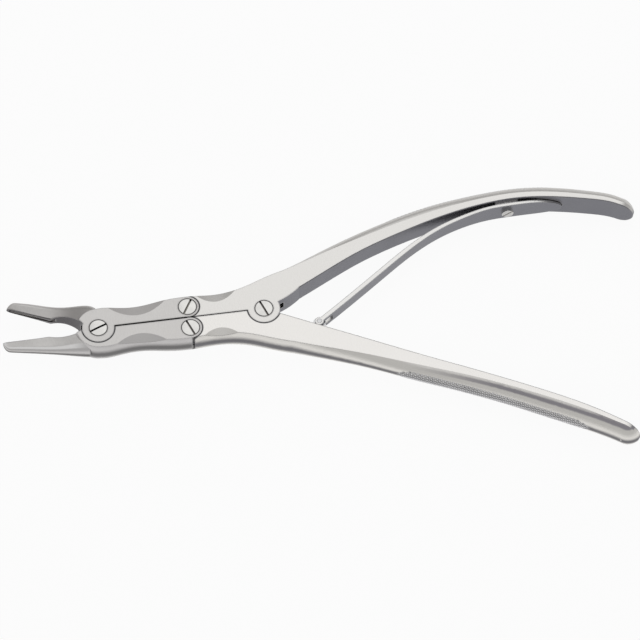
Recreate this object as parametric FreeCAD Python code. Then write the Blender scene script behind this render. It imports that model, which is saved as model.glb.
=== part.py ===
import FreeCAD, Part
import math
import os
from collections import namedtuple

# A double-action bone rongeur, lying on its back face with its jaws open.
# The origin is on the handle pivot's axis, in the plane of the joint's back face.
# X runs from the jaws to the grips along the two main pivots, Y runs from the
# lower handle to the upper one, and Z points out of the front face.
# Two jaw levers and two handle levers form a kite: they meet at the jaw pivot,
# the handle pivot and two links, and closing the grips spreads the links apart.

V = FreeCAD.Vector
UPPER = 1
LOWER = -1

# Joint box, the lapped middle of the instrument
THICKNESS = 6.8
PIVOT_SPAN = 47.5
LINK_REACH = 21.5
LINK_SPREAD = 3.45
JAW_SEAM = 0.45
HANDLE_SEAM = 0.25
WALL_CROWN = 0.9
EDGE_BREAK = 0.2

# Forks and tongues at the four pivots
TONGUE = 2.4
TONGUE_PLAY = 0.03
PIVOT_EAR_R = 4.6
LINK_EAR_R = 3.3
SEAT_GAP = 0.15
TONGUE_END_GAP = 0.25
JAW_SLOT_R = 5.4
HANDLE_SLOT_R = 6.4
LINK_WALL_GAP = 0.65

# Slotted joint screws
SCREW_HEAD_R = 2.65
SCREW_HEAD_T = 1.5
SCREW_DOME = 0.12
SCREW_SHANK_R = 1.6
SCREW_SLOT_W = 0.6
SCREW_SLOT_D = 0.7
JAW_SLOT_ANGLE = 21.5
UPPER_LINK_SLOT_ANGLE = 58.9
LOWER_LINK_SLOT_ANGLE = -68.9
HANDLE_SLOT_ANGLE = -69.3
HEAD_GAP = 0.05
THREAD_GAP = 0.02
RUNNING_GAP = 0.05

# Jaws: the rims of the cups lie on lines from the jaw pivot
UPPER_RIM_ANGLE = 156.1
LOWER_RIM_ANGLE = 179.3
JAW_REACH = 27.3
JAW_HEAD_R = 6.2
THROAT_START = 4.3
THROAT_END = 14.3
UPPER_THROAT_DEPTH = 1.6
LOWER_THROAT_DEPTH = 1.0
TROUGH_R = 0.75
TROUGH_DEPTH = 0.9
TROUGH_LIP = 0.6
TROUGH_TILT = 2.5
JAW_TIP_LENGTH = 2.3
JAW_TIP_PLAN_POWER = 0.7

# Ground relief on both faces of the four levers
RELIEF_TILT = 21.0
JAW_RELIEF_R = 26.0
JAW_RELIEF_AHEAD_OF_LINK = 14.5
UPPER_JAW_RELIEF_INNER = 2.6
LOWER_JAW_RELIEF_INNER = 3.4
HANDLE_RELIEF_R = 16.0
HANDLE_RELIEF_BEHIND_LINK = 8.3
UPPER_HANDLE_RELIEF_INNER = 4.0
LOWER_HANDLE_RELIEF_INNER = 4.6

# Flat inner face of the lower handle, in line with the pivot, where the roller runs
TRACK_ANGLE = -26.3
TRACK_LENGTH = 58.0

# Roller at the free end of the leaf spring, and its pin
ROLLER_R = 1.8
ROLLER_WIDTH = 1.9
ROLLER_BORE_GAP = 0.04
ROLLER_TRACK_GAP = 0.03
ROLLER_REST = 16.0
ROLLER_PIN_R = 0.6

# Eyes and fork of the leaf spring, the pad that it is clamped on, and its screw
LEAF_EYE_R = 1.25
LEAF_EYE_GAP = 0.02
LEAF_FORK_GAP = 0.1
LEAF_FORK_DEPTH = 4.6
PAD_LENGTH = 6.5
PAD_WIDTH = 6.0
PAD_REACH = 2.0
PAD_GAP = 0.02
POCKET_GAP = 0.3
POCKET_MOUTH = 5.0
SPRING_SCREW_HEAD_R = 1.7
SPRING_SCREW_HEAD_T = 0.8
SPRING_SCREW_SHANK_R = 0.9
SPRING_SCREW_DEPTH = 3.3
SPRING_SCREW_SLOT_W = 0.45
SPRING_SCREW_SLOT_D = 0.4
SPRING_SCREW_SLOT_ANGLE = 35.0

MID = THICKNESS / 2
HANDLE_PIVOT = V(0, 0, 0)
JAW_PIVOT = V(-PIVOT_SPAN, 0, 0)
PIVOT_TONGUE_R = PIVOT_EAR_R - SEAT_GAP
LINK_TONGUE_R = LINK_EAR_R - SEAT_GAP
FAR = 4 * PIVOT_SPAN

# Outer edge of a jaw lever's flat face from the jaw pivot to its link: share of
# that way still to go, and distance from the middle line
JAW_ARM = [
    (1.0, 6.2),
    (0.85, 6.1),
    (0.56, 5.5),
    (0.29, 6.3),
    (0.13, 6.7),
    (0.0, 6.75),
]

# Nose of a jaw up to its rounded tip: distance along the rim, height, width, and
# width at the rim
Nose = namedtuple("Nose", "reach height width rim")
UPPER_NOSE = [
    Nose(3.0, 7.3, 6.4, 6.4),
    Nose(8.6, 6.4, 4.9, 4.6),
    Nose(12.8, 4.9, 3.7, 3.2),
    Nose(17.3, 4.1, 3.2, 2.4),
    Nose(JAW_REACH - JAW_TIP_LENGTH, 3.0, 2.6, 1.9),
]
LOWER_NOSE = [
    Nose(3.0, 6.9, 6.4, 6.4),
    Nose(8.6, 5.9, 4.9, 4.6),
    Nose(12.8, 5.1, 3.7, 3.2),
    Nose(17.3, 4.3, 3.2, 2.4),
    Nose(JAW_REACH - JAW_TIP_LENGTH, 3.0, 2.6, 1.9),
]
JAW_TIP_TURNS = (30, 55, 72, 83)

# Outer edge of a handle's flat face from its link to the handle pivot: share of
# that way still to go, and distance from the middle line
HANDLE_HEAD = [
    (1.0, 6.75),
    (0.65, 6.4),
    (0.35, 7.0),
]

# Stations of a handle behind its pivot: inner edge, height of the flat side,
# bulge of the outer wall, and width. The neck is as thick as the joint box.
Station = namedtuple("Station", "x y side crown width")
UPPER_NECK = [
    Station(4.2, 1.7, 8.8, WALL_CROWN, THICKNESS),
    Station(10.7, 5.4, 7.3, WALL_CROWN, THICKNESS),
]
UPPER_GRIP = [
    Station(19.0, 9.7, 5.8, 1.7, THICKNESS),
    Station(29.1, 14.7, 4.2, 2.5, THICKNESS),
    Station(41.1, 19.2, 3.3, 2.9, THICKNESS),
    Station(53.0, 22.7, 2.6, 3.1, 7.4),
    Station(64.7, 25.0, 2.0, 3.0, 8.1),
    Station(76.2, 25.8, 1.8, 3.0, 8.5),
    Station(87.5, 24.6, 1.7, 3.0, 8.6),
    Station(97.0, 22.55, 1.5, 2.9, 8.6),
    Station(104.6, 19.75, 1.2, 2.8, 8.6),
]
LOWER_NECK = [
    Station(4.2, -1.7, 8.8, WALL_CROWN, THICKNESS),
    Station(10.8, -5.1, 7.8, WALL_CROWN, THICKNESS),
]
LOWER_GRIP = [
    Station(19.0, -9.2, 6.5, 1.3, THICKNESS),
    Station(29.0, -14.1, 5.1, 1.9, THICKNESS),
    Station(41.0, -20.1, 3.8, 2.7, THICKNESS),
    Station(54.0, -26.6, 2.6, 3.1, 7.5),
    Station(66.0, -32.7, 2.0, 3.3, 8.2),
    Station(78.0, -39.0, 1.8, 3.5, 8.6),
    Station(89.0, -45.4, 1.6, 3.3, 8.6),
    Station(97.1, -51.1, 1.2, 3.1, 8.6),
]

# Leaf spring: middle line, width and thickness of its tail behind its screw, and
# of its arm from the screw towards the roller
Leaf = namedtuple("Leaf", "x y width thickness")
LEAF_TAIL = [
    Leaf(88.8, 24.0, 0.9, 0.7),
    Leaf(88.0, 24.15, 2.8, 0.75),
    Leaf(86.5, 24.35, 4.3, 0.8),
    Leaf(84.0, 24.6, 5.6, 0.9),
    Leaf(78.5, 24.75, 6.4, 0.9),
]
LEAF_ARM = [
    Leaf(73.2, 24.65, 6.4, 0.9),
    Leaf(68.0, 24.3, 6.2, 0.9),
    Leaf(61.5, 23.0, 5.4, 1.0),
    Leaf(52.6, 19.9, 4.8, 1.15),
    Leaf(43.5, 14.8, 4.2, 1.3),
    Leaf(34.0, 8.0, 4.2, 1.3),
    Leaf(24.5, 1.1, 4.2, 1.3),
]
LEAF_END_WIDTH = LEAF_ARM[-1].width
LEAF_END_THICKNESS = LEAF_ARM[-1].thickness


def direction(angle):
    """Unit vector in the plane of the instrument at an angle in degrees from X."""
    return V(math.cos(math.radians(angle)), math.sin(math.radians(angle)), 0)


def left_of(vector):
    """Vector in the plane of the instrument turned a quarter turn to the left."""
    return V(-vector.y, vector.x, 0)


def link_point(side):
    """Axis of the upper or the lower link, at rest."""
    return V(-LINK_REACH, side * LINK_SPREAD, 0)


def disc(centre, radius, bottom=0.0, top=THICKNESS):
    """Round plate or round cutter about an axis along Z."""
    return Part.makeCylinder(radius, top - bottom, V(centre.x, centre.y, bottom))


def through_disc(centre, radius):
    """Round cutter that passes through both flat faces."""
    return disc(centre, radius, -THICKNESS, 2 * THICKNESS)


def block(x0, y0, z0, x1, y1, z1):
    """Box between two corners."""
    return Part.makeBox(x1 - x0, y1 - y0, z1 - z0, V(x0, y0, z0))


def beyond(origin, normal):
    """All that lies on one side of an upright plane, as a large block."""
    cutter = block(0, -FAR, -FAR, FAR, FAR, FAR)
    cutter.rotate(V(0, 0, 0), V(0, 0, 1), math.degrees(math.atan2(normal.y, normal.x)))
    return cutter.translated(V(origin.x, origin.y, 0))


def fuse(first, *others):
    """One solid from touching or overlapping solids, without seams."""
    return first.fuse(list(others)).removeSplitter()


def outward_solid(solid):
    """The same solid with its faces turned outwards."""
    if solid.Volume < 0:
        solid.reverse()
    return solid


def section_points(origin, outward, corners):
    """Points of a cross-section from pairs of height and width."""
    return [origin + outward * out + V(0, 0, MID + z) for out, z in corners]


def closed_wire(points, top):
    """Straight edges through the points, closed by an arc over the top point."""
    edges = [Part.makeLine(a, b) for a, b in zip(points, points[1:])]
    edges.append(Part.Arc(points[-1], top, points[0]).toShape())
    return Part.Wire(edges)


def section_wire(origin, outward, side, crown, width, inner_width, edge=EDGE_BREAK):
    """D-shaped outline with broken inner edges and a bulging outer wall."""
    half = width / 2
    inner = inner_width / 2
    corners = [(side, half), (edge, inner), (0, inner - edge),
               (0, edge - inner), (edge, -inner), (side, -half)]
    top = origin + outward * (side + crown) + V(0, 0, MID)
    return closed_wire(section_points(origin, outward, corners), top)


def joint_wire(origin, outward, side):
    """Outline that is taller than the joint, with the wall's arc carried on."""
    half = 1.25 * MID
    radius = (MID ** 2 + WALL_CROWN ** 2) / (2 * WALL_CROWN)
    shoulder = side + WALL_CROWN - radius + math.sqrt(radius ** 2 - half ** 2)
    corners = [(shoulder, half), (0, half), (0, -half), (shoulder, -half)]
    top = origin + outward * (side + WALL_CROWN) + V(0, 0, MID)
    return closed_wire(section_points(origin, outward, corners), top)


def lofted(wires):
    """Smooth solid through closed outlines."""
    return outward_solid(Part.makeLoft(wires, True, False))


def in_joint(body):
    """What lies between the two flat faces of the joint."""
    return body.common(block(-FAR, -FAR, 0, FAR, FAR, THICKNESS))


def tangents(points):
    """Unit directions of the smooth curve through a list of points."""
    curve = Part.BSplineCurve()
    curve.interpolate(points)
    found = [curve.tangent(curve.parameter(point))[0] for point in points]
    return [V(t.x, t.y, 0).normalize() for t in found]


def handle_bar(neck, grip, side):
    """Bar of a handle, flat in the joint and D-shaped behind it."""
    head = [Station(-LINK_REACH * share, 0.0, outer, WALL_CROWN, THICKNESS)
            for share, outer in HANDLE_HEAD]
    stations = head + neck + grip
    points = [V(s.x, s.y, 0) for s in stations]
    ways = tangents(points)
    joint_wires = []
    grip_wires = []
    for station, point, way in zip(stations, points, ways):
        outward = left_of(way) * side
        joint_wires.append(joint_wire(point, outward, station.side))
        grip_wires.append(section_wire(point, outward, station.side, station.crown,
                                       station.width, station.width))
    last = len(head + neck) - 1
    front = in_joint(lofted(joint_wires[:last + 2]))
    front = front.cut(beyond(points[last], ways[last]))
    rear = lofted(grip_wires[last - 1:])
    rear = rear.cut(beyond(points[last], ways[last] * -1))
    return fuse(front, rear, grip_end(points[-1], left_of(ways[-1]) * side, stations[-1]))


def grip_end(origin, outward, station):
    """Rounded end of a grip: half of its last cross-section, turned about its middle."""
    half = station.width / 2
    radius = (half ** 2 + station.crown ** 2) / (2 * station.crown)
    middle_turn = math.asin(half / radius) / 2
    height = station.side + station.crown
    on_arc = (height - radius * (1 - math.cos(middle_turn)), radius * math.sin(middle_turn))
    corners = [(height, 0), (0, 0), (0, half - EDGE_BREAK), (EDGE_BREAK, half),
               (station.side, half), on_arc]
    points = section_points(origin, outward, corners)
    edges = [Part.makeLine(a, b) for a, b in zip(points[:-1], points[1:-1])]
    edges.append(Part.Arc(points[-2], points[-1], points[0]).toShape())
    profile = Part.Face(Part.Wire(edges))
    return outward_solid(profile.revolve(points[1], outward, 360))


def relief_cutters(centre_x, side, inner_y, radius):
    """Two wheel-ground hollows, one in each flat face of a lever."""
    tilt = math.radians(RELIEF_TILT)
    cutters = []
    for face_z, face_side in ((THICKNESS, 1), (0.0, -1)):
        axis = V(0, side * math.cos(tilt), -face_side * math.sin(tilt))
        lift = V(0, side * math.sin(tilt), face_side * math.cos(tilt)) * radius
        start = V(centre_x, side * inner_y, face_z) + lift - axis * THICKNESS
        cutters.append(Part.makeCylinder(radius, 3 * THICKNESS, start, axis))
    return cutters


def fork_slot(centre, radius):
    """Space between two ears, open all round a pivot."""
    half = TONGUE / 2 + TONGUE_PLAY
    return disc(centre, radius, MID - half, MID + half)


def seat_cutters(centre, ear_radius):
    """Round seats for a mating lever's two ears, which leave a tongue between."""
    radius = ear_radius + SEAT_GAP
    half = TONGUE / 2
    return [disc(centre, radius, -THICKNESS, MID - half),
            disc(centre, radius, MID + half, 2 * THICKNESS)]


def tongue(centre, radius):
    """Round end of a tongue."""
    return disc(centre, radius, MID - TONGUE / 2, MID + TONGUE / 2)


def fork_bore(centre):
    """Hole for a joint screw in a fork: a threaded bore and a seat for the head."""
    bore = through_disc(centre, SCREW_SHANK_R + THREAD_GAP)
    seat = disc(centre, SCREW_HEAD_R + HEAD_GAP, THICKNESS - SCREW_HEAD_T, 2 * THICKNESS)
    return bore.fuse(seat)


def tongue_bore(centre):
    """Running hole for a joint screw in a tongue."""
    return through_disc(centre, SCREW_SHANK_R + RUNNING_GAP)


def seam_cutter(x0, x1, side, seam):
    """Straightens the face of a lever that looks at its mate across a seam."""
    y0, y1 = sorted((side * seam / 2, -side * 2 * THICKNESS))
    return block(x0, y0, -THICKNESS, x1, y1, 2 * THICKNESS)


def crowned_head():
    """Round head of a jaw lever with the same bulging wall as its arm."""
    bottom = V(JAW_HEAD_R, 0, 0)
    top = V(JAW_HEAD_R, 0, THICKNESS)
    wall = Part.Arc(bottom, V(JAW_HEAD_R + WALL_CROWN, 0, MID), top).toShape()
    lines = Part.makePolygon([top, V(0, 0, THICKNESS), V(0, 0, 0), bottom])
    profile = Part.Face(Part.Wire([wall] + lines.Edges))
    head = outward_solid(profile.revolve(V(0, 0, 0), V(0, 0, 1), 360))
    return head.translated(JAW_PIVOT)


def jaw_arm(side):
    """Part of a jaw lever between the jaw pivot and its link."""
    arm = PIVOT_SPAN - LINK_REACH
    wires = [joint_wire(V(-LINK_REACH - arm * share, 0, 0), V(0, side, 0), outer)
             for share, outer in JAW_ARM]
    return in_joint(lofted(wires))


def nose_wire(along, outward, nose, edge=EDGE_BREAK):
    """Outline of a jaw's nose, with a half-round outer wall."""
    crown = nose.width / 2
    return section_wire(JAW_PIVOT + along * nose.reach, outward, nose.height - crown,
                        crown, nose.width, nose.rim, edge)


def jaw_nose(along, outward, noses):
    """Tapering nose of a jaw, from inside the head to the rounded tip."""
    wires = [nose_wire(along, outward, nose) for nose in noses]
    last = noses[-1]
    for turn in JAW_TIP_TURNS:
        angle = math.radians(turn)
        reach = last.reach + JAW_TIP_LENGTH * math.sin(angle)
        low = math.cos(angle)
        slim = low ** JAW_TIP_PLAN_POWER
        tip = Nose(reach, last.height * low, last.width * slim, last.rim * slim)
        wires.append(nose_wire(along, outward, tip, EDGE_BREAK * low))
    return lofted(wires)


def throat_cutter(along, outward, depth):
    """Round relief between the head of a jaw and the heel of its cup."""
    half_chord = (THROAT_END - THROAT_START) / 2
    radius = (half_chord ** 2 + depth ** 2) / (2 * depth)
    middle = JAW_PIVOT + along * ((THROAT_START + THROAT_END) / 2)
    return through_disc(middle + outward * (depth - radius), radius)


def trough_cutter(along, outward):
    """Round-ended scoop that hollows a cup and runs out at its heel."""
    end = JAW_PIVOT + along * (JAW_REACH - TROUGH_LIP - TROUGH_R)
    end = end + outward * (TROUGH_DEPTH - TROUGH_R) + V(0, 0, MID)
    tilt = math.radians(TROUGH_TILT)
    axis = outward * math.sin(tilt) - along * math.cos(tilt)
    bore = Part.makeCylinder(TROUGH_R, JAW_REACH - THROAT_END, end, axis)
    return bore.fuse(Part.makeSphere(TROUGH_R, end))


def jaw_lever(side, rim_angle, noses, throat_depth, relief_inner):
    """Arm, head and nose of a jaw, before its joints are cut."""
    along = direction(rim_angle)
    outward = left_of(along) * -side
    head = crowned_head()
    head = head.cut([beyond(JAW_PIVOT, V(0, -side, 0)), beyond(JAW_PIVOT, outward * -1)])
    body = fuse(head, jaw_arm(side), jaw_nose(along, outward, noses))
    body = body.cut([throat_cutter(along, outward, throat_depth),
                     trough_cutter(along, outward)])
    body = body.cut(seam_cutter(JAW_PIVOT.x, 0, side, JAW_SEAM))
    return body.cut(relief_cutters(-LINK_REACH - JAW_RELIEF_AHEAD_OF_LINK, side,
                                   relief_inner, JAW_RELIEF_R))


def handle_lever(neck, grip, side, relief_inner):
    """Bar of a handle with a straight seam face, before its joints are cut."""
    body = handle_bar(neck, grip, side)
    body = body.cut(seam_cutter(-PIVOT_SPAN, 0, side, HANDLE_SEAM))
    body = body.cut(relief_cutters(-LINK_REACH + HANDLE_RELIEF_BEHIND_LINK, side,
                                   relief_inner, HANDLE_RELIEF_R))
    wall = beyond(V(-LINK_REACH + LINK_WALL_GAP, 0, 0), V(-1, 0, 0))
    return body.cut([wall] + seat_cutters(link_point(side), LINK_EAR_R))


def fork_end(side):
    """Rounded ears at the link of a jaw lever."""
    return disc(link_point(side), LINK_EAR_R)


def link_slot(side):
    """Space for a handle's tongue between the ears at a link."""
    return fork_slot(link_point(side), LINK_TONGUE_R + TONGUE_END_GAP)


def upper_jaw():
    """Jaw lever with a fork at the jaw pivot and a fork at its link."""
    body = jaw_lever(UPPER, UPPER_RIM_ANGLE, UPPER_NOSE, UPPER_THROAT_DEPTH,
                     UPPER_JAW_RELIEF_INNER)
    body = fuse(body, disc(JAW_PIVOT, PIVOT_EAR_R), fork_end(UPPER))
    body = body.cut([fork_slot(JAW_PIVOT, JAW_SLOT_R), link_slot(UPPER)])
    return body.cut([fork_bore(JAW_PIVOT), fork_bore(link_point(UPPER))])


def lower_jaw():
    """Jaw lever with a tongue at the jaw pivot and a fork at its link."""
    body = jaw_lever(LOWER, LOWER_RIM_ANGLE, LOWER_NOSE, LOWER_THROAT_DEPTH,
                     LOWER_JAW_RELIEF_INNER)
    body = body.cut(seat_cutters(JAW_PIVOT, PIVOT_EAR_R))
    body = fuse(body, tongue(JAW_PIVOT, PIVOT_TONGUE_R), fork_end(LOWER))
    body = body.cut(link_slot(LOWER))
    return body.cut([tongue_bore(JAW_PIVOT), fork_bore(link_point(LOWER))])


def upper_handle():
    """Handle lever with a tongue at its link and a fork at the handle pivot."""
    body = handle_lever(UPPER_NECK, UPPER_GRIP, UPPER, UPPER_HANDLE_RELIEF_INNER)
    body = fuse(body, tongue(link_point(UPPER), LINK_TONGUE_R),
                disc(HANDLE_PIVOT, PIVOT_EAR_R), spring_pad())
    body = body.cut([fork_slot(HANDLE_PIVOT, HANDLE_SLOT_R), tail_pocket()])
    body = body.cut([tongue_bore(link_point(UPPER)), fork_bore(HANDLE_PIVOT)])
    centre, way = spring_screw_place()
    return body.cut(round_bar(centre, left_of(way), SPRING_SCREW_SHANK_R + THREAD_GAP,
                              -LEAF_END_THICKNESS, spring_screw_tip() + THREAD_GAP))


def lower_handle():
    """Handle lever with tongues at its link and at the handle pivot."""
    body = handle_lever(LOWER_NECK, LOWER_GRIP, LOWER, LOWER_HANDLE_RELIEF_INNER)
    body = body.cut(seat_cutters(HANDLE_PIVOT, PIVOT_EAR_R) + [track_cutter()])
    body = fuse(body, tongue(link_point(LOWER), LINK_TONGUE_R),
                tongue(HANDLE_PIVOT, PIVOT_TONGUE_R))
    return body.cut([tongue_bore(link_point(LOWER)), tongue_bore(HANDLE_PIVOT)])


def track_cutter():
    """Flattens the lower handle's inner face into a track for the roller."""
    cutter = block(0, 0, -THICKNESS, TRACK_LENGTH, 2 * THICKNESS, 2 * THICKNESS)
    cutter.rotate(V(0, 0, 0), V(0, 0, 1), TRACK_ANGLE)
    return cutter


def slot_block(width, floor, top, angle):
    """Straight cutter for a screwdriver slot, about the Z axis."""
    reach = 2 * THICKNESS
    cutter = block(-reach, -width / 2, floor, reach, width / 2, top)
    cutter.rotate(V(0, 0, 0), V(0, 0, 1), angle)
    return cutter


def joint_screw(centre, slot_angle):
    """Slotted screw whose tail ends flush with the back face."""
    shank = disc(centre, SCREW_SHANK_R, 0.0, THICKNESS - SCREW_HEAD_T)
    head = disc(centre, SCREW_HEAD_R, THICKNESS - SCREW_HEAD_T, THICKNESS)
    dome_r = (SCREW_HEAD_R ** 2 + SCREW_DOME ** 2) / (2 * SCREW_DOME)
    dome = Part.makeSphere(dome_r, V(centre.x, centre.y, THICKNESS + SCREW_DOME - dome_r))
    dome = dome.common(disc(centre, SCREW_HEAD_R, THICKNESS, THICKNESS + 2 * SCREW_DOME))
    slot = slot_block(SCREW_SLOT_W, THICKNESS - SCREW_SLOT_D, 2 * THICKNESS, slot_angle)
    return fuse(shank, head, dome).cut(slot.translated(centre))


def round_bar(origin, axis, radius, start, end):
    """Round bar or cutter along an axis, between two distances from its origin."""
    return Part.makeCylinder(radius, end - start, origin + axis * start, axis)


def roller_centre():
    """Axis of the roller at rest, where it touches the track."""
    track = direction(TRACK_ANGLE)
    return track * ROLLER_REST + left_of(track) * (ROLLER_R + ROLLER_TRACK_GAP)


def leaf_places():
    """Middle points of the leaf from its tail to the pin, and its directions there."""
    points = [V(leaf.x, leaf.y, MID) for leaf in LEAF_TAIL + LEAF_ARM]
    points.append(roller_centre() + V(0, 0, MID))
    return points, tangents(points)


def spring_screw_place():
    """Middle of the leaf under its screw, and the leaf's direction there."""
    points, ways = leaf_places()
    place = len(LEAF_TAIL)
    return points[place], ways[place] * -1


def spring_screw_seat():
    """Height of the spring screw's head from the middle of the leaf."""
    return -LEAF_ARM[0].thickness / 2


def spring_screw_tip():
    """Depth of the spring screw's tip, from the middle of the leaf."""
    return SPRING_SCREW_DEPTH - spring_screw_seat()


def spline(points):
    """Edge that runs smoothly through a list of points."""
    curve = Part.BSplineCurve()
    curve.interpolate(points)
    return curve.toShape()


def strip(left, right, depth):
    """Solid between two smooth lines, of a given depth."""
    ends = [Part.makeLine(left[-1], right[-1]), Part.makeLine(right[0], left[0])]
    outline = Part.Wire([spline(left), ends[0], spline(right), ends[1]])
    return outward_solid(Part.Face(outline).extrude(depth))


def leaf_blank():
    """The leaf without its fork and holes: a bent strip, cut to its tapering width."""
    points, ways = leaf_places()
    halves = [(leaf.width / 2, leaf.thickness / 2) for leaf in LEAF_TAIL + LEAF_ARM]
    halves.append((LEAF_END_WIDTH / 2, LEAF_END_THICKNESS / 2))
    depth = V(0, 0, 2 * THICKNESS)
    lift = V(0, 0, -THICKNESS - MID)
    above = [p + left_of(w) * half[1] + lift for p, w, half in zip(points, ways, halves)]
    below = [p - left_of(w) * half[1] + lift for p, w, half in zip(points, ways, halves)]
    bent = strip(above, below, depth)
    front = [V(p.x, -FAR, MID + half[0]) for p, half in zip(points, halves)]
    back = [V(p.x, -FAR, MID - half[0]) for p, half in zip(points, halves)]
    front.append(front[-1] - V(ROLLER_R, 0, 0))
    back.append(back[-1] - V(ROLLER_R, 0, 0))
    return bent.common(strip(front, back, V(0, 2 * FAR, 0)))


def spring_pad():
    """Small raised pad on the upper handle's inner face, shaped to the leaf."""
    centre, way = spring_screw_place()
    pad = block(-PAD_LENGTH / 2, 0, -PAD_WIDTH / 2, PAD_LENGTH / 2, PAD_REACH, PAD_WIDTH / 2)
    pad.rotate(V(0, 0, 0), V(0, 0, 1), math.degrees(math.atan2(way.y, way.x)))
    blank = leaf_blank()
    return pad.translated(centre).cut([blank, blank.translated(left_of(way) * PAD_GAP)])


def tail_pocket():
    """Shallow recess in the upper handle's inner face, in which the leaf's tail lies."""
    points, ways = leaf_places()
    tail = list(zip(points, ways, LEAF_TAIL))
    lift = V(0, 0, -THICKNESS - MID)
    floor = [p - left_of(w) * (leaf.thickness / 2 + POCKET_GAP) + lift for p, w, leaf in tail]
    mouth = [p + left_of(w) * POCKET_MOUTH + lift for p, w, leaf in tail]
    floor.insert(0, floor[0] - ways[0] * POCKET_GAP)
    mouth.insert(0, mouth[0] - ways[0] * POCKET_GAP)
    front = [V(p.x, -FAR, MID + leaf.width / 2 + POCKET_GAP) for p, w, leaf in tail]
    back = [V(p.x, -FAR, MID - leaf.width / 2 - POCKET_GAP) for p, w, leaf in tail]
    front.insert(0, V(tail[0][0].x + POCKET_GAP, -FAR, MID + POCKET_GAP))
    back.insert(0, V(tail[0][0].x + POCKET_GAP, -FAR, MID - POCKET_GAP))
    outline = strip(front, back, V(0, 2 * FAR, 0))
    return strip(floor, mouth, V(0, 0, 4 * THICKNESS)).common(outline)


def leaf_spring():
    """Leaf with a screw hole near its tail and a fork with two eyes at its free end."""
    pin = roller_centre()
    half = LEAF_END_WIDTH / 2
    eye = disc(pin, LEAF_EYE_R, MID - half, MID + half)
    leaf = fuse(leaf_blank(), eye)
    slot_half = ROLLER_WIDTH / 2 + LEAF_FORK_GAP
    slot = block(-LEAF_FORK_DEPTH, -ROLLER_R, MID - slot_half, LEAF_FORK_DEPTH, ROLLER_R,
                 MID + slot_half)
    points, ways = leaf_places()
    slot.rotate(V(0, 0, 0), V(0, 0, 1), math.degrees(math.atan2(ways[-1].y, ways[-1].x)))
    leaf = leaf.cut([slot.translated(pin), through_disc(pin, ROLLER_PIN_R + LEAF_EYE_GAP)])
    centre, way = spring_screw_place()
    axis = left_of(way)
    hole = round_bar(centre, axis, SPRING_SCREW_SHANK_R + THREAD_GAP,
                     -LEAF_END_THICKNESS, LEAF_END_THICKNESS)
    spot_face = round_bar(centre, axis, SPRING_SCREW_HEAD_R + HEAD_GAP,
                          -2 * LEAF_END_THICKNESS, spring_screw_seat())
    return leaf.cut([hole, spot_face])


def spring_screw():
    """Small slotted screw through the leaf and the pad into the upper handle."""
    centre, way = spring_screw_place()
    axis = left_of(way)
    seat = spring_screw_seat()
    shank = round_bar(centre, axis, SPRING_SCREW_SHANK_R, seat, spring_screw_tip())
    head = round_bar(centre, axis, SPRING_SCREW_HEAD_R, seat - SPRING_SCREW_HEAD_T, seat)
    slot = slot_block(SPRING_SCREW_SLOT_W, -SPRING_SCREW_SLOT_D, SPRING_SCREW_SLOT_D,
                      SPRING_SCREW_SLOT_ANGLE)
    slot.rotate(V(0, 0, 0), V(1, 0, 0), 90)
    top = centre + axis * (seat - SPRING_SCREW_HEAD_T)
    return fuse(shank, head).cut(slot.translated(top))


def roller():
    """Small roller with a bore for its pin."""
    centre = roller_centre()
    half = ROLLER_WIDTH / 2
    body = disc(centre, ROLLER_R, MID - half, MID + half)
    return body.cut(through_disc(centre, ROLLER_PIN_R + ROLLER_BORE_GAP))


def roller_pin():
    """Pin of the roller, as long as the leaf's fork is wide."""
    half = LEAF_END_WIDTH / 2
    return disc(roller_centre(), ROLLER_PIN_R, MID - half, MID + half)


PIECES = {
    "upper_jaw": upper_jaw,
    "lower_jaw": lower_jaw,
    "upper_handle": upper_handle,
    "lower_handle": lower_handle,
    "jaw_screw": lambda: joint_screw(JAW_PIVOT, JAW_SLOT_ANGLE),
    "upper_link_screw": lambda: joint_screw(link_point(UPPER), UPPER_LINK_SLOT_ANGLE),
    "lower_link_screw": lambda: joint_screw(link_point(LOWER), LOWER_LINK_SLOT_ANGLE),
    "handle_screw": lambda: joint_screw(HANDLE_PIVOT, HANDLE_SLOT_ANGLE),
    "leaf_spring": leaf_spring,
    "spring_screw": spring_screw,
    "roller": roller,
    "roller_pin": roller_pin,
}


def main():
    """Builds every piece and writes one file for each."""
    os.makedirs("parts", exist_ok=True)
    for name, build in PIECES.items():
        shape = build()
        box = shape.BoundBox
        print(f"{name}: solids {len(shape.Solids)}, valid {shape.isValid()}, "
              f"volume {shape.Volume:.1f} mm3, x {box.XMin:.2f} to {box.XMax:.2f}, "
              f"y {box.YMin:.2f} to {box.YMax:.2f}, z {box.ZMin:.2f} to {box.ZMax:.2f}")
        shape.exportStep(os.path.join("parts", name + ".step"))


main()
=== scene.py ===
import logging
import math
from dataclasses import dataclass, field, replace
from enum import Enum
from typing import Sequence

import bmesh
import bpy
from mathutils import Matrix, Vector
from mathutils.bvhtree import BVHTree


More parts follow.
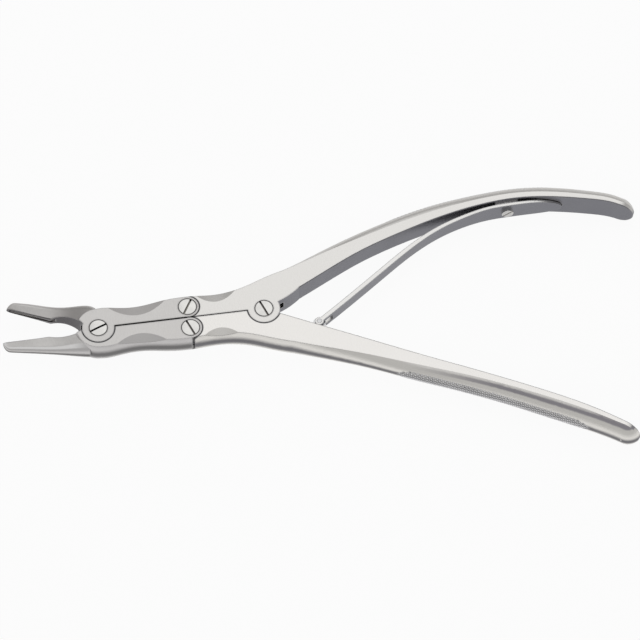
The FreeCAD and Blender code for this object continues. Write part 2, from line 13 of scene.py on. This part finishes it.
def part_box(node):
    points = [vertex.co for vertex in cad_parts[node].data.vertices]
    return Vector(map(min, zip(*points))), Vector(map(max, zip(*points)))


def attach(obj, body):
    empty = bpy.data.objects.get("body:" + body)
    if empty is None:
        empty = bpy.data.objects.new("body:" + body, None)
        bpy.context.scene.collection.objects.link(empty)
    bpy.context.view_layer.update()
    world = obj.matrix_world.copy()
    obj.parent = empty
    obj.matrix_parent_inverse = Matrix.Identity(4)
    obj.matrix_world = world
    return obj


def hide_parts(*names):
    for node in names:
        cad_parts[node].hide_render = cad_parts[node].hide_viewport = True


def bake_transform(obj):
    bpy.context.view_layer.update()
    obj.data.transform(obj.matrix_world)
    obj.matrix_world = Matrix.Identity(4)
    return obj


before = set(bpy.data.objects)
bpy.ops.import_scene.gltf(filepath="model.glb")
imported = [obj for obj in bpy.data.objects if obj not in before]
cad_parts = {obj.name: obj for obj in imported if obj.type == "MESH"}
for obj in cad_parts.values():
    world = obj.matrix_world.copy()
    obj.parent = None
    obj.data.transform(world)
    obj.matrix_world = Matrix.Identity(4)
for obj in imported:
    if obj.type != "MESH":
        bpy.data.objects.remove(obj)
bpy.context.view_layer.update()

LOG = logging.getLogger("bone_rongeur")
MM = 0.001
MID_HEIGHT = 3.4 * MM
Colour = tuple[float, float, float]
Span = tuple[float, float]


class Wire:
    """A value on its way through a material's nodes, which takes part in arithmetic."""

    def __init__(self, bench: "ShaderBench", socket: bpy.types.NodeSocket) -> None:
        """Wraps one output socket of a bench.

        Args:
            bench: The bench that the node stands on.
            socket: The node's output.
        """
        self.bench = bench
        self.socket = socket

    def math(self, operation: str, *others: "Wire | float") -> "Wire":
        """Adds a Math node behind this value.

        Args:
            operation: The Math node's operation.
            others: Its second and third inputs.

        Returns:
            The node's result.
        """
        sockets = dict(enumerate((self, *others)))
        return self.bench.node("ShaderNodeMath", {"operation": operation}, sockets)

    def __add__(self, other: "Wire | float") -> "Wire":
        """Sum of two values."""
        return self.math("ADD", other)

    def __radd__(self, other: float) -> "Wire":
        """Sum of two values."""
        return self.math("ADD", other)

    def __mul__(self, other: "Wire | float") -> "Wire":
        """Product of two values."""
        return self.math("MULTIPLY", other)

    def __rmul__(self, other: float) -> "Wire":
        """Product of two values."""
        return self.math("MULTIPLY", other)

    def __sub__(self, other: "Wire | float") -> "Wire":
        """Difference of two values."""
        return self.math("SUBTRACT", other)

    def __rsub__(self, other: float) -> "Wire":
        """Difference of a number and this value."""
        return self * -1.0 + other

    def __abs__(self) -> "Wire":
        """Size of the value without its sign."""
        return self.math("ABSOLUTE")

    def ramp(self, start: float, end: float) -> "Wire":
        """Eases from 0 at one value to 1 at another.

        Args:
            start: Value at which the result leaves 0.
            end: Value at which the result reaches 1.

        Returns:
            A mask between 0 and 1.
        """
        settings = {"interpolation_type": "SMOOTHSTEP"}
        return self.bench.node("ShaderNodeMapRange", settings,
                               {"Value": self, "From Min": start, "From Max": end})


class ShaderBench:
    """One material's node tree, with a steel shader at its end."""

    edge_rays: int = 6
    edge_turn: Span = (0.80, 0.985)
    octaves: float = 3.0

    def __init__(self, name: str) -> None:
        """Starts a material with nothing but its shader.

        Args:
            name: The material's name.
        """
        self.material = bpy.data.materials.new(name)
        self.material.use_nodes = True
        self.tree = self.material.node_tree
        self.shader = self.tree.nodes["Principled BSDF"]

    def node(self, kind: str, settings: dict | None = None,
             sockets: dict | None = None, out: int | str = 0) -> Wire:
        """Adds one node.

        Args:
            kind: The node's type.
            settings: Properties of the node, set before its sockets.
            sockets: Values or wires by socket name or number.
            out: Name or number of the output that is wanted.

        Returns:
            That output.
        """
        made = self.tree.nodes.new(kind)
        for key, value in (settings or {}).items():
            setattr(made, key, value)
        for key, value in (sockets or {}).items():
            self.feed(made.inputs[key], value)
        return Wire(self, made.outputs[out])

    def feed(self, socket: bpy.types.NodeSocket, value: object) -> None:
        """Links a wire to an input, or writes a plain value there.

        Args:
            socket: The input.
            value: A wire, a number, a vector or a colour.
        """
        if isinstance(value, Wire):
            self.tree.links.new(value.socket, socket)
        else:
            socket.default_value = value

    def place(self) -> Wire:
        """Place on the object, in metres."""
        return self.node("ShaderNodeTexCoord", out="Object")

    def facing(self, direction: Sequence[float]) -> Wire:
        """How far the surface faces a direction fixed to the object.

        Args:
            direction: Unit vector in the object's own frame.

        Returns:
            Cosine between the surface's normal and the direction.
        """
        normal = self.node("ShaderNodeTexCoord", out="Normal")
        return self.node("ShaderNodeVectorMath", {"operation": "DOT_PRODUCT"},
                         {0: normal, 1: tuple(direction)}, out="Value")

    def near_edge(self, radius: float) -> Wire:
        """Line along the edges, where the surface would be rounded.

        Args:
            radius: Width of the line, in metres.

        Returns:
            1 on an edge, 0 away from it.
        """
        rounded = self.node("ShaderNodeBevel", {"samples": self.edge_rays}, {"Radius": radius})
        plain = self.node("ShaderNodeNewGeometry", out="Normal")
        turn = self.node("ShaderNodeVectorMath", {"operation": "DOT_PRODUCT"},
                         {0: rounded, 1: plain}, out="Value")
        return 1 - turn.ramp(*self.edge_turn)

    def split(self, spot: Wire, axes: str) -> tuple[Wire, ...]:
        """Takes a place apart.

        Args:
            spot: The place.
            axes: The wanted axes, such as "XY".

        Returns:
            One value for each axis.
        """
        return tuple(self.node("ShaderNodeSeparateXYZ", None, {0: spot}, out=axis)
                     for axis in axes)

    def noise(self, scale: float, stretch: Sequence[float] = (1, 1, 1)) -> Wire:
        """Cloudy pattern on the object.

        Args:
            scale: Clouds per metre.
            stretch: Factor on the scale along each axis.

        Returns:
            Brightness around 0.5.
        """
        spot = self.node("ShaderNodeMapping", {"vector_type": "POINT"},
                         {"Vector": self.place(), "Scale": tuple(stretch)})
        return self.node("ShaderNodeTexNoise", {"noise_dimensions": "3D"},
                         {"Vector": spot, "Scale": scale, "Detail": self.octaves})

    def blend(self, mask: "Wire | float", first: "Wire | Colour",
              second: "Wire | Colour") -> Wire:
        """Mixes two colours.

        Args:
            mask: 0 for the first colour, 1 for the second.
            first: Colour at 0.
            second: Colour at 1.

        Returns:
            The mixed colour.
        """
        sockets = {0: mask, 6: self.rgba(first), 7: self.rgba(second)}
        return self.node("ShaderNodeMix", {"data_type": "RGBA"}, sockets, out=2)

    @staticmethod
    def rgba(colour: "Wire | Colour") -> "Wire | tuple[float, ...]":
        """Adds full opacity to a plain colour."""
        return colour if isinstance(colour, Wire) else (*colour, 1.0)

    def metal(self, colour: Wire, roughness: Wire) -> None:
        """Makes the shader a bare metal.

        Args:
            colour: Its colour.
            roughness: Its roughness.
        """
        self.feed(self.shader.inputs["Base Color"], colour)
        self.feed(self.shader.inputs["Metallic"], 1.0)
        self.feed(self.shader.inputs["Roughness"], roughness)

    def bump(self, height: Wire, depth: float, strength: float) -> None:
        """Presses a relief into the surface.

        Args:
            height: Relief between 0 and 1.
            depth: Height of 1, in metres.
            strength: Share of the relief that shows.
        """
        sockets = {"Height": height, "Distance": depth, "Strength": strength}
        self.feed(self.shader.inputs["Normal"], self.node("ShaderNodeBump", None, sockets))


@dataclass(frozen=True)
class SteelFinish:
    """Stainless steel as the grinder, the blaster or the polisher leaves it, with painted
    shade, painted reflection and painted highlight laid over its walls, upright faces,
    shoulders, heel, inward faces, edges and seats by the way they face.

    A span is a stretch along X. A turn is a range of the cosine between the surface's
    normal and an axis, over which one tone gives way to the next.
    """

    name: str
    tint: Colour
    shade: Colour
    roughness: float
    cloud_scale: float = 160.0
    grain_scale: float = 3600.0
    grain_depth: float = 0.0
    grain_strength: float = 0.7
    grain_stretch: tuple[float, float, float] = (1.0, 1.0, 1.0)
    mottle: Span = (0.35, 0.65)
    cloud_roughness: float = 0.12
    grain_roughness: float = 0.10
    # painted shade: walls that turn away from the flats get this darker colour, standing in for
    # the dimmer light they reflect
    wall_shade: Colour | None = None
    wall_shade_turn: Span = (0.90, 0.98)
    # painted shade: faces that stand nearly upright get this dark colour
    upright_shade: Colour | None = None
    upright_shade_turn: Span = (0.06, 0.36)
    # painted reflection: a strip of a listed colour along the shoulder between a flat and its
    # wall, a painted highlight where the colour is light and a painted dark line where it is
    # dark
    shoulder_reflection: Colour | None = None
    shoulder_reflection_span: Span = (35.0 * MM, 65.0 * MM)
    shoulder_reflection_turn: tuple[float, float, float, float] = (0.76, 0.84, 0.90, 0.96)
    # painted shade: the slightly tilted faces near the heel of the nose get this darker colour
    heel_shade: Colour | None = None
    heel_shade_span: Span = (-64.0 * MM, -53.0 * MM)
    heel_shade_end: Span = (-50.0 * MM, -46.0 * MM)
    heel_shade_turn: Span = (0.9970, 0.9995)
    # painted shade: colour of a dark line along the edges, where a rounding would turn away
    # from the light
    edge: Colour | None = None
    edge_shade_radius: float = 0.75 * MM
    seats: tuple[tuple[float, float, float], ...] = ()
    seat_rim: Span = (0.12 * MM, 0.30 * MM)
    seat_shadow: Colour = (0.12, 0.12, 0.125)
    # painted shade: faces turned towards inward get the dark inward_shade
    inward: tuple[float, float, float] | None = None
    inward_turn: Span = (0.30, 0.50)
    inward_shade: Colour = (0.19, 0.19, 0.21)

    def material(self) -> bpy.types.Material:
        """Builds the material.

        Returns:
            A metal whose colour, roughness and grain vary over the surface.
        """
        bench = ShaderBench(self.name)
        cloud = bench.noise(self.cloud_scale)
        grain = bench.noise(self.grain_scale, self.grain_stretch)
        mottle = (cloud * 0.5 + grain * 0.5).ramp(*self.mottle)
        colour = self.paint_light_and_shade(bench, bench.blend(mottle, self.shade, self.tint))
        uneven = (cloud - 0.5) * self.cloud_roughness + (grain - 0.5) * self.grain_roughness
        bench.metal(colour, uneven + self.roughness)
        if self.grain_depth:
            bench.bump(grain, self.grain_depth, self.grain_strength)
        return bench.material

    def paint_light_and_shade(self, bench: ShaderBench, colour: Wire) -> Wire:
        """Paints shade onto the walls, upright faces, heel, inward faces and edges, a painted
        reflection along the shoulders and a painted shadow over the seats, apart from the
        flats.

        Args:
            bench: The material's bench.
            colour: Colour of the flats.

        Returns:
            Colour of the whole surface.
        """
        level = abs(bench.facing((0.0, 0.0, 1.0)))
        x, y = bench.split(bench.place(), "XY")
        # painted shade on the walls
        if self.wall_shade:
            colour = bench.blend(level.ramp(*self.wall_shade_turn), self.wall_shade, colour)
        # painted reflection along the shoulder
        if self.shoulder_reflection:
            first, full, fading, last = self.shoulder_reflection_turn
            reflection_strip = level.ramp(first, full) * (1 - level.ramp(fading, last))
            colour = bench.blend(reflection_strip * x.ramp(*self.shoulder_reflection_span), colour, self.shoulder_reflection)
        # painted shade on the heel
        if self.heel_shade:
            tilted = 1 - level.ramp(*self.heel_shade_turn)
            heel_shade = tilted * x.ramp(*self.heel_shade_span) * (1 - x.ramp(*self.heel_shade_end))
            colour = bench.blend(heel_shade, colour, self.heel_shade)
        # painted shade on the upright faces
        if self.upright_shade:
            colour = bench.blend(level.ramp(*self.upright_shade_turn), self.upright_shade, colour)
        # painted shade on the faces turned inward
        if self.inward:
            shaded_inside = bench.facing(self.inward).ramp(*self.inward_turn)
            colour = bench.blend(shaded_inside, colour, self.inward_shade)
        # painted shade line along the edges
        if self.edge:
            colour = bench.blend(bench.near_edge(self.edge_shade_radius), colour, self.edge)
        for centre_x, centre_y, radius in self.seats:
            off_x, off_y = x - centre_x, y - centre_y
            out = (off_x * off_x + off_y * off_y).math("SQRT")
            rim = out.ramp(radius + self.seat_rim[0], radius + self.seat_rim[1])
            colour = bench.blend(rim, self.seat_shadow, colour)
        return colour


FORGED = SteelFinish("forged steel", (0.68, 0.665, 0.65), (0.62, 0.605, 0.59), 0.36,
                     grain_depth=0.035 * MM, grain_stretch=(1.0, 0.30, 1.0))
PIVOT_SEAT = 4.75 * MM
LINK_SEAT = 3.45 * MM
JAW_PIVOT_X = -47.5 * MM
LINK_X = -21.5 * MM
LINK_Y = 3.45 * MM


class Grip(Enum):
    """The two handles, by the side of the instrument that they lie on."""

    UPPER = 1
    LOWER = -1


def finished_mesh(name: str, body: bmesh.types.BMesh, material: bpy.types.Material,
                  smooth_below: float = 40.0) -> bpy.types.Object:
    """Turns a bmesh into an object at the origin.

    Args:
        name: The piece's name.
        body: Its shape, which is used up.
        material: Its finish.
        smooth_below: Edges that turn by less than this many degrees shade smooth.

    Returns:
        The new object.
    """
    mesh = bpy.data.meshes.new(name)
    body.to_mesh(mesh)
    body.free()
    mesh.materials.append(material)
    carried = mesh.attributes.get("custom_normal")
    if carried:
        mesh.attributes.remove(carried)
    mesh.shade_smooth()
    mesh.set_sharp_from_angle(angle=math.radians(smooth_below))
    piece = bpy.data.objects.new(name, mesh)
    bpy.context.scene.collection.objects.link(piece)
    return piece


def dress(node: str, material: bpy.types.Material) -> None:
    """Gives a carried-over node its finish.

    Args:
        node: The node's name.
        material: Its finish.
    """
    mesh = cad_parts[node].data
    mesh.materials.clear()
    mesh.materials.append(material)
    LOG.info("%s wears %s", node, material.name)


@dataclass
class Levers:
    """The two jaws and the two handles, forged, ground and blasted."""

    # Each finish paints shade onto walls, upright faces, inward faces and edges, and a painted
    # shadow over any listed seats; the upper jaw also paints shade on its heel, the lower jaw a
    # painted highlight along its shoulder, the lower handle a painted dark line along its
    # shoulder.
    upper_jaw: SteelFinish = replace(
        FORGED, name="upper jaw steel", wall_shade=(0.54, 0.52, 0.51), upright_shade=(0.24, 0.235, 0.235),
        inward=(0.0, -1.0, 0.0), inward_shade=(0.10, 0.095, 0.10), heel_shade=(0.36, 0.345, 0.335),
        edge=(0.30, 0.29, 0.29))
    lower_jaw: SteelFinish = replace(
        FORGED, name="lower jaw steel", wall_shade=(0.60, 0.585, 0.58), upright_shade=(0.16, 0.155, 0.155),
        inward=(0.0, 1.0, 0.0), inward_shade=(0.20, 0.20, 0.21), shoulder_reflection=(0.95, 0.94, 0.93),
        shoulder_reflection_span=(-50.0 * MM, -56.0 * MM), shoulder_reflection_turn=(0.70, 0.82, 0.94, 0.98),
        edge=(0.40, 0.39, 0.39), seats=((JAW_PIVOT_X, 0.0, PIVOT_SEAT),))
    upper_handle: SteelFinish = replace(
        FORGED, name="upper handle steel", tint=(0.84, 0.825, 0.80), shade=(0.79, 0.775, 0.75),
        wall_shade=(0.58, 0.565, 0.545), upright_shade=(0.20, 0.195, 0.20), inward=(0.0, -1.0, 0.0),
        edge=(0.34, 0.33, 0.34), seats=((LINK_X, LINK_Y, LINK_SEAT),))
    lower_handle: SteelFinish = replace(
        FORGED, name="lower handle steel", tint=(0.92, 0.90, 0.87), shade=(0.87, 0.85, 0.825),
        wall_shade=(0.76, 0.74, 0.705), upright_shade=(0.16, 0.155, 0.165), inward=(0.45, 0.893, 0.0),
        shoulder_reflection=(0.34, 0.325, 0.35), edge=(0.20, 0.195, 0.20),
        seats=((0.0, 0.0, PIVOT_SEAT), (LINK_X, -LINK_Y, LINK_SEAT)))

    def build(self) -> None:
        """Dresses the four levers."""
        dress("upper_jaw", self.upper_jaw.material())
        dress("lower_jaw", self.lower_jaw.material())
        dress("upper_handle", self.upper_handle.material())
        dress("lower_handle", self.lower_handle.material())


@dataclass
class JointScrews:
    """The four slotted joint screws and the small screw of the spring."""

    nodes: tuple[str, ...] = ("jaw_screw", "upper_link_screw", "lower_link_screw",
                              "handle_screw")
    head: Colour = (0.80, 0.79, 0.765)
    worn: Colour = (0.72, 0.71, 0.69)
    # painted shade around the rim of each head
    rim_shade: Colour = (0.09, 0.088, 0.085)
    # painted shade down in each slot, one colour for each screw
    slot_shades: tuple[Colour, ...] = ((0.05, 0.048, 0.045), (0.26, 0.25, 0.23),
                                 (0.22, 0.21, 0.20), (0.20, 0.19, 0.18))
    rim: float = 0.32 * MM
    rim_fade: float = 0.4
    slot_lip: Span = (-0.35 * MM, -0.10 * MM)
    slot_floor: Span = (-2.0 * MM, -1.9 * MM)
    cloud_scale: float = 420.0
    mottle: Span = (0.35, 0.65)
    roughness: float = 0.22
    roughness_swing: float = 0.12
    rings_per_metre: float = 2.2e4
    ring_wobble: float = 3.0
    ring_depth: float = 0.006 * MM
    ring_strength: float = 0.4
    # painted shade on the spring screw's upright faces
    spring_finish: SteelFinish = SteelFinish(
        "spring screw steel", (0.80, 0.79, 0.77), (0.70, 0.69, 0.67), 0.24,
        grain_depth=0.01 * MM, upright_shade=(0.55, 0.54, 0.53))

    def material(self, node: str, slot_shade: Colour) -> bpy.types.Material:
        """Builds a screw's finish: a turned head with painted shade at its rim and painted
        shade down in its slot.

        Args:
            node: The screw's node.
            slot_shade: Colour of the painted shade down in its slot.

        Returns:
            A metal whose pattern is centred on that screw.
        """
        low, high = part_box(node)
        radius = (high.x - low.x) / 2
        bench = ShaderBench(f"{node} steel")
        spot = bench.node("ShaderNodeMapping", {"vector_type": "POINT"},
                          {"Vector": bench.place(),
                           "Location": (-(high.x + low.x) / 2, -(high.y + low.y) / 2, -high.z)})
        x, y, depth = bench.split(spot, "XYZ")
        out = (x * x + y * y).math("SQRT")
        # edge: mask of the painted shade at the rim of the head
        edge = out.ramp(radius - self.rim, radius - self.rim_fade * self.rim)
        slot = (1 - depth.ramp(*self.slot_lip)) * depth.ramp(*self.slot_floor)
        cloud = bench.noise(self.cloud_scale)
        colour = bench.blend(cloud.ramp(*self.mottle), self.worn, self.head)
        # painted shade down in the slot
        colour = bench.blend(slot, colour, slot_shade)
        colour = bench.blend(edge, colour, self.rim_shade)
        bench.metal(colour, cloud * self.roughness_swing + self.roughness)
        rings = (out * self.rings_per_metre + cloud * self.ring_wobble).math("SINE")
        bench.bump(rings * 0.5 + 0.5, self.ring_depth, self.ring_strength)
        return bench.material

    def build(self) -> None:
        """Dresses the screws."""
        for node, slot_shade in zip(self.nodes, self.slot_shades):
            dress(node, self.material(node, slot_shade))
        dress("spring_screw", self.spring_finish.material())


@dataclass
class KnurlBand:
    """A band of crossed cuts along the outer face of a grip."""

    grip: Grip
    body: str
    start: Vector
    end: Vector
    sag: float
    half_width: float = 2.3 * MM
    half_pitch: float = 0.58 * MM
    half_rise: float = 0.46 * MM
    relief: float = 0.24 * MM
    sunk: float = 0.06 * MM
    cut_sunk_share: float = 0.15
    end_taper: float = 3.0
    edge_taper: float = 1.5
    probe_reach_mm: float = 20.0
    blank_height: float = 0.4
    smooth_below: float = 5.0
    cloud_scale: float = 160.0
    cloud_swing: float = 0.2
    cut_shade_and_wear: Span = (0.20, 0.62)
    roughness: float = 0.42
    roughness_swing: float = 0.12
    # points: the worn bright tops; cuts: painted shade down in the cuts
    points: Colour = (0.86, 0.85, 0.86)
    cuts: Colour = (0.22, 0.22, 0.225)

    def fade(self, along: float, across: float) -> float:
        """Depth of the cuts near the rounded ends and the edges of the band.

        Args:
            along: Distance from the nearer end.
            across: Distance from the middle line.

        Returns:
            Share of the full depth.
        """
        inset = max(0.0, self.end_taper * self.half_width - along) / self.end_taper
        edge = self.half_width - math.hypot(inset, across)
        return min(1.0, max(0.0, edge / (self.edge_taper * self.half_rise)))

    def line(self, share: float) -> Vector:
        """Point on the arc that the band follows, near the grip's outer face."""
        straight = self.start.lerp(self.end, share)
        way = (self.end - self.start).normalized()
        out = Vector((-way.y, way.x, 0.0)) * self.grip.value
        return straight + out * (4.0 * self.sag * share * (1.0 - share))

    def material(self) -> bpy.types.Material:
        """Builds the finish, worn bright on the points, with painted shade down in the cuts.

        Returns:
            A metal that follows the height of the points.
        """
        bench = ShaderBench(f"{self.body} knurled steel")
        height = bench.node("ShaderNodeAttribute", {"attribute_name": "height"}, out="Fac")
        cloud = bench.noise(self.cloud_scale)
        # worn: wear bright on the points and painted shade down in the cuts
        worn = (height + (cloud - 0.5) * self.cloud_swing).ramp(*self.cut_shade_and_wear)
        bench.metal(bench.blend(worn, self.cuts, self.points),
                    self.roughness - worn * self.roughness_swing)
        return bench.material

    def build(self) -> bpy.types.Object:
        """Lays a grid on the grip's surface and raises every second point of it.

        Returns:
            The band.
        """
        length = (self.end - self.start).length
        columns = 2 * round(length / self.half_pitch / 2)
        rows = 2 * math.ceil(self.half_width / self.half_rise)
        surface = BVHTree.FromObject(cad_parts[self.body],
                                     bpy.context.evaluated_depsgraph_get())
        way = (self.end - self.start).normalized()
        inward = Vector((way.y, -way.x, 0.0)) * self.grip.value
        band = bmesh.new()
        bmesh.ops.create_grid(band, x_segments=columns, y_segments=rows, size=0.5)
        height = band.verts.layers.float.new("height")
        high = {}
        for vert in band.verts:
            column = round((vert.co.x + 0.5) * columns)
            row = round((vert.co.y + 0.5) * rows)
            share = column / columns
            across = (row - rows / 2) * self.half_rise
            probe = self.line(share) - inward * self.probe_reach_mm * MM
            probe.z = MID_HEIGHT + across
            spot, normal, _, _ = surface.ray_cast(probe, inward)
            depth = self.fade(min(share, 1 - share) * length, across)
            raised = (column + row) % 2 == 0
            lift = self.relief * depth if raised else 0.0
            sunk = self.sunk * (1.0 if depth == 0 else self.cut_sunk_share)
            vert.co = spot + normal * (lift - sunk)
            high[vert] = raised
            vert[height] = depth if raised else self.blank_height * (1.0 - depth)
        for face in list(band.faces):
            low = [vert for vert in face.verts if not high[vert]]
            bmesh.utils.face_split(face, low[0], low[1])
        bmesh.ops.recalc_face_normals(band, faces=band.faces)
        piece = finished_mesh(f"{self.body}_knurl", band, self.material(),
                              self.smooth_below)
        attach(piece, self.body)
        LOG.info("%s has %d by %d cuts", piece.name, columns, rows)
        return piece


@dataclass
class LeafSpring:
    """The leaf spring, with its roller and pin."""

    step: float = 2.0 * MM
    merge_within: float = 0.002 * MM
    cut_within: float = 0.001 * MM
    smooth_below: float = 30.0
    clamp: Vector = field(default_factory=lambda: Vector((70.0, 24.4, 3.4)) * MM)
    free_end: Vector = field(default_factory=lambda: Vector((26.0, 2.2, 3.4)) * MM)
    # painted shade on the leaf's upright faces and a painted dark line along its edges
    finish: SteelFinish = SteelFinish(
        "spring steel", (0.84, 0.83, 0.81), (0.78, 0.77, 0.75), 0.30, grain_depth=0.02 * MM,
        grain_stretch=(0.25, 1.0, 1.0), upright_shade=(0.20, 0.20, 0.22), edge=(0.24, 0.24, 0.25),
        edge_shade_radius=0.55 * MM)
    roller_finish: SteelFinish = SteelFinish(
        "roller steel", (0.70, 0.70, 0.70), (0.60, 0.60, 0.61), 0.26, grain_depth=0.01 * MM)

    def build(self) -> bpy.types.Object:
        """Makes the leaf that is seen, cut into short steps.

        Returns:
            The leaf.
        """
        leaf = bmesh.new()
        leaf.from_mesh(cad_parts["leaf_spring"].data)
        bmesh.ops.remove_doubles(leaf, verts=leaf.verts, dist=self.merge_within)
        low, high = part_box("leaf_spring")
        cuts = int((high.x - low.x) / self.step)
        for cut in range(1, cuts):
            bmesh.ops.bisect_plane(leaf, geom=leaf.verts[:] + leaf.edges[:] + leaf.faces[:],
                                   plane_co=(low.x + cut * self.step, 0, 0),
                                   plane_no=(1, 0, 0), dist=self.cut_within)
        piece = finished_mesh("leaf_blade", leaf, self.finish.material(), self.smooth_below)
        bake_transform(piece)
        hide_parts("leaf_spring")
        roller_steel = self.roller_finish.material()
        dress("roller", roller_steel)
        dress("roller_pin", roller_steel)
        LOG.info("the leaf has %d faces", len(piece.data.polygons))
        return piece


@dataclass
class Studio:
    """Pale floor, soft light and the camera of the portrait."""

    azimuth: float = -7.73
    elevation: float = 60.0
    picture_width: float = 181.95 * MM
    distance: float = 6.0
    target: Vector = field(default_factory=lambda: Vector((15.52, -4.02, 3.4)) * MM)
    sight: float = 20.0
    floor_height: float = -0.95 * MM
    floor_half_width: float = 4.0
    floor_glow: float = 0.93
    floor_tone: Colour = (0.9, 0.9, 0.9)
    white: Colour = (1.0, 1.0, 1.0)
    room: float = 0.6
    key_place: Vector = field(default_factory=lambda: Vector((0.15, 0.45, 0.75)))
    key_size: float = 0.60
    key_power: float = 0.52

    def back(self) -> Vector:
        """Unit vector from the instrument to the camera."""
        turn, rise = math.radians(self.azimuth), math.radians(self.elevation)
        return Vector((math.sin(turn) * math.cos(rise), -math.cos(turn) * math.cos(rise),
                       math.sin(rise)))

    def build(self) -> None:
        """Sets the scene."""
        self.camera()
        self.floor()
        self.sky()
        self.lamp("key", self.key_place, self.key_size, self.key_power)
        bpy.context.scene.view_settings.view_transform = "Standard"

    def camera(self) -> None:
        """Places a long lens where the photographer stood."""
        data = bpy.data.cameras.new("camera")
        data.lens = data.sensor_width * self.distance / self.picture_width
        data.clip_end = self.sight
        camera = bpy.data.objects.new("camera", data)
        camera.location = self.target + self.back() * self.distance
        camera.rotation_euler = self.back().to_track_quat("Z", "Y").to_euler()
        bpy.context.scene.collection.objects.link(camera)
        bpy.context.scene.camera = camera

    def floor(self) -> None:
        """Lays the pale floor."""
        bench = ShaderBench("floor")
        bench.tree.nodes.remove(bench.shader)
        seen, glossy, through = (bench.node("ShaderNodeLightPath", out=f"Is {kind} Ray")
                                 for kind in ("Camera", "Glossy", "Transmission"))
        matt = bench.node("ShaderNodeBsdfDiffuse", None, {"Color": bench.rgba(self.floor_tone)})
        white = bench.node("ShaderNodeEmission", None, {"Color": bench.rgba(self.white)})
        lit = bench.node("ShaderNodeMixShader", None,
                         {0: (seen + glossy + through) * self.floor_glow, 1: matt, 2: white})
        bench.feed(bench.tree.nodes["Material Output"].inputs["Surface"], lit)
        sheet = bmesh.new()
        bmesh.ops.create_grid(sheet, x_segments=1, y_segments=1,
                              size=self.floor_half_width)
        bmesh.ops.translate(sheet, verts=sheet.verts, vec=(0, 0, self.floor_height))
        finished_mesh("floor", sheet, bench.material)

    def sky(self) -> None:
        """Lights the room evenly."""
        world = bpy.data.worlds.new("room")
        world.use_nodes = True
        light = world.node_tree.nodes["Background"].inputs
        light["Color"].default_value = ShaderBench.rgba(self.white)
        light["Strength"].default_value = self.room
        bpy.context.scene.world = world

    def lamp(self, name: str, place: Vector, size: float, power: float) -> None:
        """Hangs a soft square lamp that points at the instrument.

        Args:
            name: The lamp's name.
            place: Where it hangs, in metres.
            size: Its width.
            power: Its power, in watts.
        """
        data = bpy.data.lights.new(name, "AREA")
        data.size = size
        data.energy = power
        lamp = bpy.data.objects.new(name, data)
        lamp.location = place
        lamp.rotation_euler = (place - self.target).to_track_quat("Z", "Y").to_euler()
        bpy.context.scene.collection.objects.link(lamp)


def main() -> None:
    """Dresses the instrument piece by piece."""
    logging.basicConfig(level=logging.INFO)
    Studio().build()
    Levers().build()
    JointScrews().build()
    LeafSpring().build()
    KnurlBand(Grip.UPPER, "upper_handle", Vector((37.0, 17.8, 0)) * MM,
              Vector((91.0, 23.8, 0)) * MM, 5.0 * MM).build()
    KnurlBand(Grip.LOWER, "lower_handle", Vector((37.5, -18.4, 0)) * MM,
              Vector((89.0, -45.4, 0)) * MM, 0.5 * MM).build()


if __name__ == "__main__":
    main()
